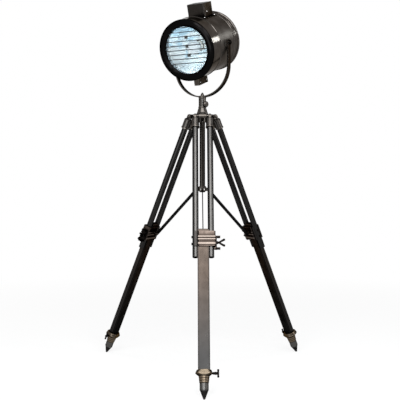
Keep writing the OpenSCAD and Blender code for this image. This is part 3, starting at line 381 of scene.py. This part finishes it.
def reflector_silver():
    """Silver with painted reflections in white and blue-grey patches, and painted shade that
    leaves it bright towards the bottom, bluer and duller towards the chimney.
    """
    m = Mat("reflector_silver")
    m.set(Metallic=0.70)
    # Painted shade from the top down and painted reflections in large patches, mixed into one
    # brightness
    height = m.range(m.axis("Z", HEAD), 0.20, -0.20, -0.06, 0.07)
    cloud = m.range(m.noise(24.0, 3, 0.5, HEAD, (0.55, 1, 1.3), 0.4), -0.55, 0.55, 0.25, 0.75)
    bright = m.math("ADD", m.math("ADD", cloud, height), 0.5)
    m.colour(m.ramp(bright, 0.15, (0.46, 0.66, 0.78), 0.55, (0.97, 1.0, 1.0)))
    m.to(m.range(m.noise(16.0, 4, 0.5, HEAD), 0.20, 0.30, 0.3, 0.7), "Roughness")
    # Crossed grooves that break the bowl into small diamonds
    grooves = []
    for turn in (45, -45):
        turned = HEAD @ Matrix.Rotation(math.radians(turn), 4, "Y")
        pitches = m.math("MULTIPLY", m.axis("X", turned), 1 / GROOVE_PITCH)
        grooves.append(m.range(m.math("PINGPONG", pitches, 0.5), 0.0, 1.0, 0.0, 0.12))
    m.to(m.bump(m.math("MINIMUM", *grooves), 0.22, 0.0012), "Normal")
    return m


def clear_glass():
    """Slightly wavy glass that lets the lamps' light through."""
    m = Mat("clear_glass")
    m.set(Transmission_Weight=1.0, IOR=1.46, Roughness=0.0)
    waves = m.noise(6.0, 2, 0.5, HEAD)
    m.colour(m.ramp(waves, 0.3, (0.96, 0.99, 1.0), 0.7, (0.98, 1.0, 1.0)))
    m.to(m.bump(waves, 0.03, 0.002), "Normal")
    clear = m.node("ShaderNodeBsdfTransparent")
    clear.inputs["Color"].default_value = (0.98, 1.0, 1.0, 1)
    either = m.node("ShaderNodeMixShader")
    m.link((m.node("ShaderNodeLightPath"), "Is Shadow Ray"), either, 0)
    m.link((m.bsdf, "BSDF"), either, 1)
    m.link((clear, "BSDF"), either, 2)
    m.link((either, "Shader"), m.out, "Surface")
    return m


drum = drum_bronze()
bezel = plated("bezel_black", (0.0045, 0.0042, 0.0042), 0.16, tint=0.02, matrix=HEAD,
               radius=0.0015)
box_dark = plated("box_bronze", (0.026, 0.0225, 0.020), 0.26,
                  wear=((0.10, 0.085, 0.07), 0.4, 0.54), matrix=HEAD)
yoke = plated("yoke_bronze", (0.060, 0.054, 0.049), 0.22,
              wear=((0.08, 0.07, 0.06), 0.3, 0.54), tint=0.08)
pewter = plated("antique_pewter", (0.052, 0.048, 0.044), 0.24,
                wear=((0.16, 0.14, 0.12), 0.4, 0.52), tint=0.2, mottle=0.15)
spike = plated("spike_steel", (0.016, 0.015, 0.015), 0.30,
               wear=((0.10, 0.10, 0.10), 0.4, 0.52), tint=0.05)
steel = plated("plain_steel", (0.42, 0.41, 0.40), 0.24, wear=((0.6, 0.6, 0.6), 0.4, 0.52))
screw_black = plated("blackened_screw", (0.006, 0.005, 0.0045), 0.26,
                     wear=((0.03, 0.027, 0.024), 0.3, 0.54), tint=0.1)
slot_dark = plated("slot_shadow", (0.008, 0.007, 0.007), 0.6, tint=0.02)
satin_black = plated("satin_black", (0.006, 0.006, 0.006), 0.42, tint=0.03)
ring_metal = plated("ring_metal", (0.42, 0.46, 0.50), 0.25, tint=0.8, matrix=HEAD)
# Dark beads: painted shade along the slats' front edges
shaded_bead_metal = plated("slat_bead", (0.016, 0.026, 0.036), 0.30, tint=0.1, matrix=HEAD)
clip_black = plated("clip_black", (0.005, 0.006, 0.007), 0.35, tint=0.05, matrix=HEAD)
column = lacquer("column_lacquer", (0.018, 0.016, 0.014), (0.026, 0.023, 0.020), 0.2, 0.2)
rubber = moulded("gasket_rubber", (120.0, 4, 0.6), (0.012, 0.012, 0.012), (0.026, 0.026, 0.026),
                 (0.55, 0.75), Specular_IOR_Level=0.3)
porcelain = moulded("porcelain", (25.0, 4, 0.5), (0.72, 0.70, 0.64), (0.82, 0.80, 0.75),
                    (0.12, 0.22), Specular_IOR_Level=0.5, Coat_Weight=0.6, Coat_Roughness=0.05)
opal = moulded("bulb_opal", (10.0, 3, 0.5), (0.76, 0.81, 0.84), (0.82, 0.87, 0.90),
               (0.08, 0.14), Specular_IOR_Level=0.6, Coat_Weight=0.5, Coat_Roughness=0.03)
silver = reflector_silver()

looks = {
    "drum_shell": drum, "rear_cap": drum, "chimney": box_dark, "connection_box": box_dark,
    "front_bezel": bezel, "front_glass": clear_glass(), "glass_gasket": rubber,
    "louvre_ring": ring_metal, "louvre_slats": slat_finish(), "louvre_clips": satin_black,
    "reflector": silver, "bulb": opal, "lampholder": porcelain, "holder_bracket": steel,
    "chimney_baffle": satin_black, "pivot_pads": drum, "head_screws": steel,
    "cable_gland": satin_black, "yoke_bar": yoke, "spigot": steel, "finial_nut": pewter,
    "tilt_screw_left": screw_black, "tilt_screw_right": screw_black, "hub_casting": pewter,
    "socket": pewter, "socket_screw": yoke, "hinge_pins": pewter, "column_tube": column,
    "column_cap": bezel, "brace_collar": yoke, "collar_pins": steel,
}
for leg in LEGS:
    looks.update({
        f"{leg}_ferrules": pewter, f"{leg}_rods": rod_lacquer(leg),
        f"{leg}_clamp": clamp_metal(leg), f"{leg}_clamp_screw": screw_black,
        f"{leg}_board": board_lacquer(leg), f"{leg}_foot": foot_metal(leg),
        f"{leg}_spike": spike, f"{leg}_foot_screw": screw_black, f"{leg}_strut": satin_black,
    })
for name, look in looks.items():
    slots = nodes[name].data.materials
    slots.clear()
    slots.append(look.mat)


# ---------------------------------------------------------------- mesh helpers
def piece(name, bm, look, body, smooth=False):
    """A new piece that rides on a body."""
    mesh = bpy.data.meshes.new(name)
    bm.normal_update()
    bm.to_mesh(mesh)
    bm.free()
    for p in mesh.polygons:
        p.use_smooth = smooth
    mesh.materials.append(look.mat)
    ob = bpy.data.objects.new(name, mesh)
    bpy.context.scene.collection.objects.link(ob)
    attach(ob, body)
    return ob


def thicken(ob, thickness):
    sheet = ob.modifiers.new("sheet", "SOLIDIFY")
    sheet.thickness = thickness
    sheet.offset = 0.0


def circle(count, shift=0.0):
    """Angles evenly round a circle."""
    return [2 * math.pi * (i + shift) / count for i in range(count)]


def tube(bm, rings):
    """Join rings of points into a closed tube with flat ends."""
    for a, b in zip(rings, rings[1:]):
        for i in range(len(a)):
            j = (i + 1) % len(a)
            bm.faces.new((a[i], a[j], b[j], b[i]))
    bm.faces.new(rings[0][::-1])
    bm.faces.new(rings[-1])


def islands(node):
    """The separate solids of a node, each as its list of points, joined to 10 microns."""
    mesh = nodes[node].data
    per_metre = 1e5
    keys = [tuple(round(c * per_metre) for c in v.co) for v in mesh.vertices]
    links = {key: [] for key in keys}
    for e in mesh.edges:
        a, b = (keys[i] for i in e.vertices)
        links[a].append(b)
        links[b].append(a)
    seen, groups = set(), []
    for start in links:
        if start in seen:
            continue
        seen.add(start)
        todo, group = [start], []
        while todo:
            key = todo.pop()
            group.append(Vector(key) / per_metre)
            for other in links[key]:
                if other not in seen:
                    seen.add(other)
                    todo.append(other)
        groups.append(group)
    return groups


def turning_axis(points):
    """The axis of a turned piece: the direction whose spread differs from the other two."""
    mean = sum(points, Vector()) / len(points)
    spread = Matrix([[sum((p[i] - mean[i]) * (p[j] - mean[j]) for p in points)
                      for j in range(3)] for i in range(3)])
    widest, widest_spread = None, None
    for seed in (Vector((1, 0.3, 0.2)), Vector((0.2, 1, 0.3)), Vector((0.3, 0.2, 1))):
        v = seed.normalized()
        for _ in range(60):
            v = (spread @ v).normalized()
        along = v.dot(spread @ v)
        if widest_spread is None or along > widest_spread:
            widest, widest_spread = v, along
    # The other two directions lie across it
    side = widest.orthogonal().normalized()
    third = widest.cross(side)
    a, b, c = side.dot(spread @ side), third.dot(spread @ third), side.dot(spread @ third)
    half_gap = math.sqrt(((a - b) / 2) ** 2 + c * c)
    if widest_spread - ((a + b) / 2 + half_gap) > 2 * half_gap:
        return widest
    angle = 0.5 * math.atan2(2 * c, a - b) + math.pi / 2
    return (side * math.cos(angle) + third * math.sin(angle)).normalized()


# ---------------------------------------------------------------- pieces in mesh code
def faceted_reflector():
    """A parabolic bowl pressed in rows of small diamonds, with a flat lip round its front."""
    span = BOWL_R ** 2 - BOWL_NECK ** 2
    radii = [BOWL_R]
    while radii[-1] > BOWL_NECK * 1.12:
        slope = 2 * BOWL_DEPTH * radii[-1] / span
        radii.append(radii[-1] * (1 - math.pi / BOWL_COLUMNS / math.sqrt(1 + slope * slope)))
    radii.append(BOWL_NECK)
    bm = bmesh.new()

    def ring(r, y, shift):
        return [bm.verts.new(HEAD @ Vector((r * math.cos(a), y, r * math.sin(a))))
                for a in circle(BOWL_COLUMNS, shift)]

    rows = []
    for i, r in enumerate(radii):
        depth = BOWL_DEPTH - BOWL_DEPTH * (r * r - BOWL_NECK ** 2) / span
        rows.append(ring(r, depth - BOWL_FRONT, 0.5 * (i % 2)))
    lip = ring(BOWL_LIP, -BOWL_FRONT, 0.0)
    first, last = 0, len(rows) - 1
    for j in range(BOWL_COLUMNS):
        after = (j + 1) % BOWL_COLUMNS
        for i in range(last - 1):
            k = j if i % 2 else j - 1
            bm.faces.new((rows[i][j], rows[i + 1][k % BOWL_COLUMNS], rows[i + 2][j],
                          rows[i + 1][(k + 1) % BOWL_COLUMNS]))
        for i, inner in ((first, first + 1), (last, last - 1)):
            tip = j if i % 2 == 0 else after
            bm.faces.new((rows[i][j], rows[inner][tip], rows[i][after]))
        bm.faces.new((rows[first][j], rows[first][after], lip[after], lip[j]))
    bmesh.ops.recalc_face_normals(bm, faces=bm.faces)
    return bm


bowl = piece("faceted_reflector", faceted_reflector(), silver, "head")
thicken(bowl, 0.0006)
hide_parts("reflector")

# Rolled front edges of the slats, dark as painted shade
RING_R, RING_PLAY, SLAT_HALF_T = 0.0995, 0.001, 0.002
BEAD_R, BEAD_BACK, BEAD_SIDES = 0.0015, 0.0013, 12
BEAD_END = ((0.0, 0.0003), (0.0006, 0.0011), (0.0016, BEAD_R))
for k in range(SLATS):
    height = SLAT_LOWEST + SLAT_PITCH * k
    half = math.sqrt(RING_R ** 2 - (abs(height) + SLAT_HALF_T) ** 2) - RING_PLAY
    ends = [(-half + inset, r) for inset, r in BEAD_END]
    ends += [(half - inset, r) for inset, r in BEAD_END[::-1]]
    bm = bmesh.new()
    tube(bm, [[bm.verts.new(HEAD @ Vector((x, BEAD_BACK - SLAT_FRONT + r * math.cos(a),
                                           height + r * math.sin(a))))
               for a in circle(BEAD_SIDES)] for x, r in ends])
    bmesh.ops.recalc_face_normals(bm, faces=bm.faces)
    piece(f"slat_bead_{k}", bm, shaded_bead_metal, "head", True)

# Spring clips on three of the slats, folded from sheet: the profile of the fold as distances
# back and up from a slat's front, and the clip's places to the side of the middle
CLIP_X = {2: 0.006, 4: 0.002, 6: 0.004}
CLIP_FOLD = ((0.0062, 0.0021), (0.0012, 0.0025), (-0.0002, 0.0021), (-0.0008, 0.0009),
             (-0.0008, -0.0078), (-0.0002, -0.0090), (0.0012, -0.0092), (0.0030, -0.0080))
CLIP_COLUMNS = ((-0.0075, 0.0007), (-0.0069, 0.0), (0.0069, 0.0), (0.0075, 0.0007))
clips = bmesh.new()
for k, x in CLIP_X.items():
    height = SLAT_LOWEST + SLAT_PITCH * k
    columns = [[clips.verts.new(HEAD @ Vector((x + aside, back + pull - SLAT_FRONT, height + up)))
                for back, up in CLIP_FOLD] for aside, pull in CLIP_COLUMNS]
    for a, b in zip(columns, columns[1:]):
        for i in range(len(CLIP_FOLD) - 1):
            clips.faces.new((a[i], b[i], b[i + 1], a[i + 1]))
clip = piece("slat_clips", clips, clip_black, "head")
thicken(clip, 0.0010)
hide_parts("louvre_clips")

# Rims along the two wings of each clamp screw: distance back from the screw's tip, share of
# the wings' reach, and radius
RIM = ((0.0255, 0.10, 0.0030), (0.0210, 0.22, 0.0034), (0.0150, 0.42, 0.0037),
       (0.0095, 0.60, 0.0042), (0.0060, 0.70, 0.0048), (0.0036, 0.76, 0.0046),
       (0.0014, 0.81, 0.0032), (0.0004, 0.835, 0.0010))
RIM_THIN, RIM_SIDES = 0.85, 14
for leg in LEGS:
    offsets = [v.co - HINGE[leg] for v in nodes[f"{leg}_clamp_screw"].data.vertices]
    screw_tip = max(o.dot(SIDEWAYS[leg]) for o in offsets)
    downs = [o.dot(DOWNWARD[leg]) for o in offsets]
    middle, reach = (min(downs) + max(downs)) / 2, (max(downs) - min(downs)) / 2
    bm = bmesh.new()
    for up in (-1, 1):
        path = [HINGE[leg] + SIDEWAYS[leg] * (screw_tip - back)
                + DOWNWARD[leg] * (middle + up * reach * share) for back, share, _ in RIM]
        rings = []
        for i, (centre, (_, _, r)) in enumerate(zip(path, RIM)):
            ahead = path[min(i + 1, len(path) - 1)] - path[max(i - 1, 0)]
            across = OUTWARD[leg].cross(ahead).normalized()
            rings.append([bm.verts.new(centre + across * r * math.cos(a)
                                       + OUTWARD[leg] * r * RIM_THIN * math.sin(a))
                          for a in circle(RIM_SIDES)])
        tube(bm, rings)
    bmesh.ops.recalc_face_normals(bm, faces=bm.faces)
    piece(f"{leg}_wing_rims", bm, screw_black, f"{leg}_clamp_screw", True)

# Slots across the heads of the head's small screws, each turned a little further
HEAD_EDGE, SLOT_T, SLOT_BEVEL = 0.0012, 0.0005, 0.0001
SLOT_LENGTH, SLOT_WIDTH = 1.7, 0.30
FIRST_TURN, NEXT_TURN = 0.7, 1.9
for number, points in enumerate(islands("head_screws")):
    axis = turning_axis(points)
    if axis.dot(sum(points, Vector()) / len(points) - PIVOT) < 0:
        axis = -axis
    top = max(p.dot(axis) for p in points)
    head = [p for p in points if p.dot(axis) > top - HEAD_EDGE]
    centre = sum(head, Vector()) / len(head)
    radius = max((p - centre - axis * (p - centre).dot(axis)).length for p in head)
    along = (Matrix.Rotation(FIRST_TURN + NEXT_TURN * number, 3, axis)
             @ axis.orthogonal().normalized())
    place = Matrix((along, axis.cross(along), axis)).transposed().to_4x4()
    place.translation = centre + axis * (top - centre.dot(axis))
    bm = bmesh.new()
    bmesh.ops.create_cube(bm, size=1.0)
    bmesh.ops.scale(bm, verts=bm.verts, vec=(radius * SLOT_LENGTH, radius * SLOT_WIDTH, SLOT_T))
    bmesh.ops.bevel(bm, geom=list(bm.edges), offset=SLOT_BEVEL, segments=2, affect="EDGES")
    bmesh.ops.transform(bm, matrix=place, verts=bm.verts)
    piece(f"head_screws_slot_{number}", bm, slot_dark, "head")


# ---------------------------------------------------------------- floor, world, lamps
def shader(tree, kind, output, grey):
    """A shader of one grey."""
    n = tree.nodes.new(kind)
    n.inputs["Color"].default_value = (grey, grey, grey, 1)
    return n.outputs[output]


def mixed(tree, share, a, b):
    """Two shaders mixed: b where the share is one."""
    n = tree.nodes.new("ShaderNodeMixShader")
    for socket, source in enumerate((share, a, b)):
        tree.links.new(source, n.inputs[socket])
    return n.outputs["Shader"]


def in_view(tree):
    """One for what the camera sees, also in a reflection or through glass."""
    path = tree.nodes.new("ShaderNodeLightPath")
    share = path.outputs["Is Camera Ray"]
    for ray in ("Is Glossy Ray", "Is Transmission Ray"):
        either = tree.nodes.new("ShaderNodeMath")
        either.operation = "MAXIMUM"
        tree.links.new(share, either.inputs[0])
        tree.links.new(path.outputs[ray], either.inputs[1])
        share = either.outputs[0]
    return share


# A pale floor that keeps the shadow near the object and fades into white further out
FLOOR_HALF, FLOOR_DROP = 30.0, 0.0005
floor_mesh = bpy.data.meshes.new("floor")
corners = [(x * FLOOR_HALF, y * FLOOR_HALF, 0) for x, y in ((-1, -1), (1, -1), (1, 1), (-1, 1))]
floor_mesh.from_pydata(corners, [], [(0, 1, 2, 3)])
floor = bpy.data.objects.new("floor", floor_mesh)
bpy.context.scene.collection.objects.link(floor)
floor.location = (0, 0, -FLOOR_DROP)
floor_look = bpy.data.materials.new("floor_pale")
floor_look.use_nodes = True
floor_mesh.materials.append(floor_look)
tree = floor_look.node_tree
tree.nodes.clear()
distance = tree.nodes.new("ShaderNodeVectorMath")
distance.operation = "LENGTH"
place = tree.nodes.new("ShaderNodeTexCoord")
tree.links.new(place.outputs["Object"], distance.inputs[0])
fade = tree.nodes.new("ShaderNodeMapRange")
for socket, value in (("From Min", 0.8), ("From Max", 3.0), ("To Min", 0.80), ("To Max", 1.0)):
    fade.inputs[socket].default_value = value
tree.links.new(distance.outputs["Value"], fade.inputs["Value"])
lit = shader(tree, "ShaderNodeBsdfDiffuse", "BSDF", 0.80)
shadowed = shader(tree, "ShaderNodeBsdfDiffuse", "BSDF", 0.90)
white = shader(tree, "ShaderNodeEmission", "Emission", 1.0)
seen = mixed(tree, fade.outputs["Result"], shadowed, white)
output = tree.nodes.new("ShaderNodeOutputMaterial")
tree.links.new(mixed(tree, in_view(tree), lit, seen), output.inputs["Surface"])

world = bpy.data.worlds.new("studio")
bpy.context.scene.world = world
world.use_nodes = True
tree = world.node_tree
tree.nodes.clear()
dim = shader(tree, "ShaderNodeBackground", "Background", 0.30)
white = shader(tree, "ShaderNodeBackground", "Background", 1.0)
output = tree.nodes.new("ShaderNodeOutputWorld")
tree.links.new(mixed(tree, in_view(tree), dim, white), output.inputs["Surface"])


def softbox(name, place, aim, width, height, power, colour=(1, 1, 1)):
    light = bpy.data.lights.new(name, "AREA")
    light.shape = "RECTANGLE"
    light.size = width
    light.size_y = height
    light.energy = power
    light.color = colour
    ob = bpy.data.objects.new(name, light)
    bpy.context.scene.collection.objects.link(ob)
    ob.location = place
    ob.rotation_euler = (Vector(aim) - Vector(place)).to_track_quat("-Z", "Y").to_euler()
    ob.visible_camera = False


softbox("key", (0.0, -2.38, 2.74), (0, -0.2, 0.7), 3.2, 1.5, 128)
softbox("low", (0.0, -3.0, 1.75), (0, -0.4, 0.2), 2.2, 0.5, 24, (0.92, 0.97, 1.0))
softbox("front", (-1.25, -2.35, 0.75), (0.0, -0.1, 1.38), 1.5, 1.1, 21, (0.94, 0.98, 1.0))
softbox("spot", (1.82, 0.855, 2.21), (0.05, -0.16, 1.387), 0.10, 0.34, 6.0, (0.85, 0.95, 1.0))
softbox("side", (2.9, -1.2, 1.9), (0, 0, 1.0), 0.6, 1.6, 22)
softbox("back", (-2.4, 1.8, 2.4), (0, 0, 1.0), 1.2, 1.6, 20)

# ---------------------------------------------------------------- camera
IMAGE_WIDTH, FOCAL_PIXELS, SENSOR_WIDTH = 400, 789.1, 36
TURN, YAW, PITCH = math.radians(0.8), math.radians(-0.17), math.radians(2.19)
DISTANCE, EYE_HEIGHT = 3.318 * 1.03, 0.828 * 1.03
unturn = Matrix.Rotation(-TURN, 3, "Z")
forward = unturn @ Vector((math.cos(PITCH) * math.sin(YAW), math.cos(PITCH) * math.cos(YAW),
                           -math.sin(PITCH)))
right = unturn @ Vector((math.cos(YAW), -math.sin(YAW), 0))
up = right.cross(forward)
lens = bpy.data.cameras.new("camera")
lens.sensor_width = SENSOR_WIDTH
lens.sensor_fit = "HORIZONTAL"
lens.lens = FOCAL_PIXELS / IMAGE_WIDTH * SENSOR_WIDTH
camera = bpy.data.objects.new("camera", lens)
bpy.context.scene.collection.objects.link(camera)
camera.matrix_world = (Matrix.Translation(unturn @ Vector((0, -DISTANCE, EYE_HEIGHT)))
                       @ Matrix((right, up, -forward)).transposed().to_4x4())
bpy.context.scene.camera = camera
bpy.context.scene.view_settings.view_transform = "Standard"
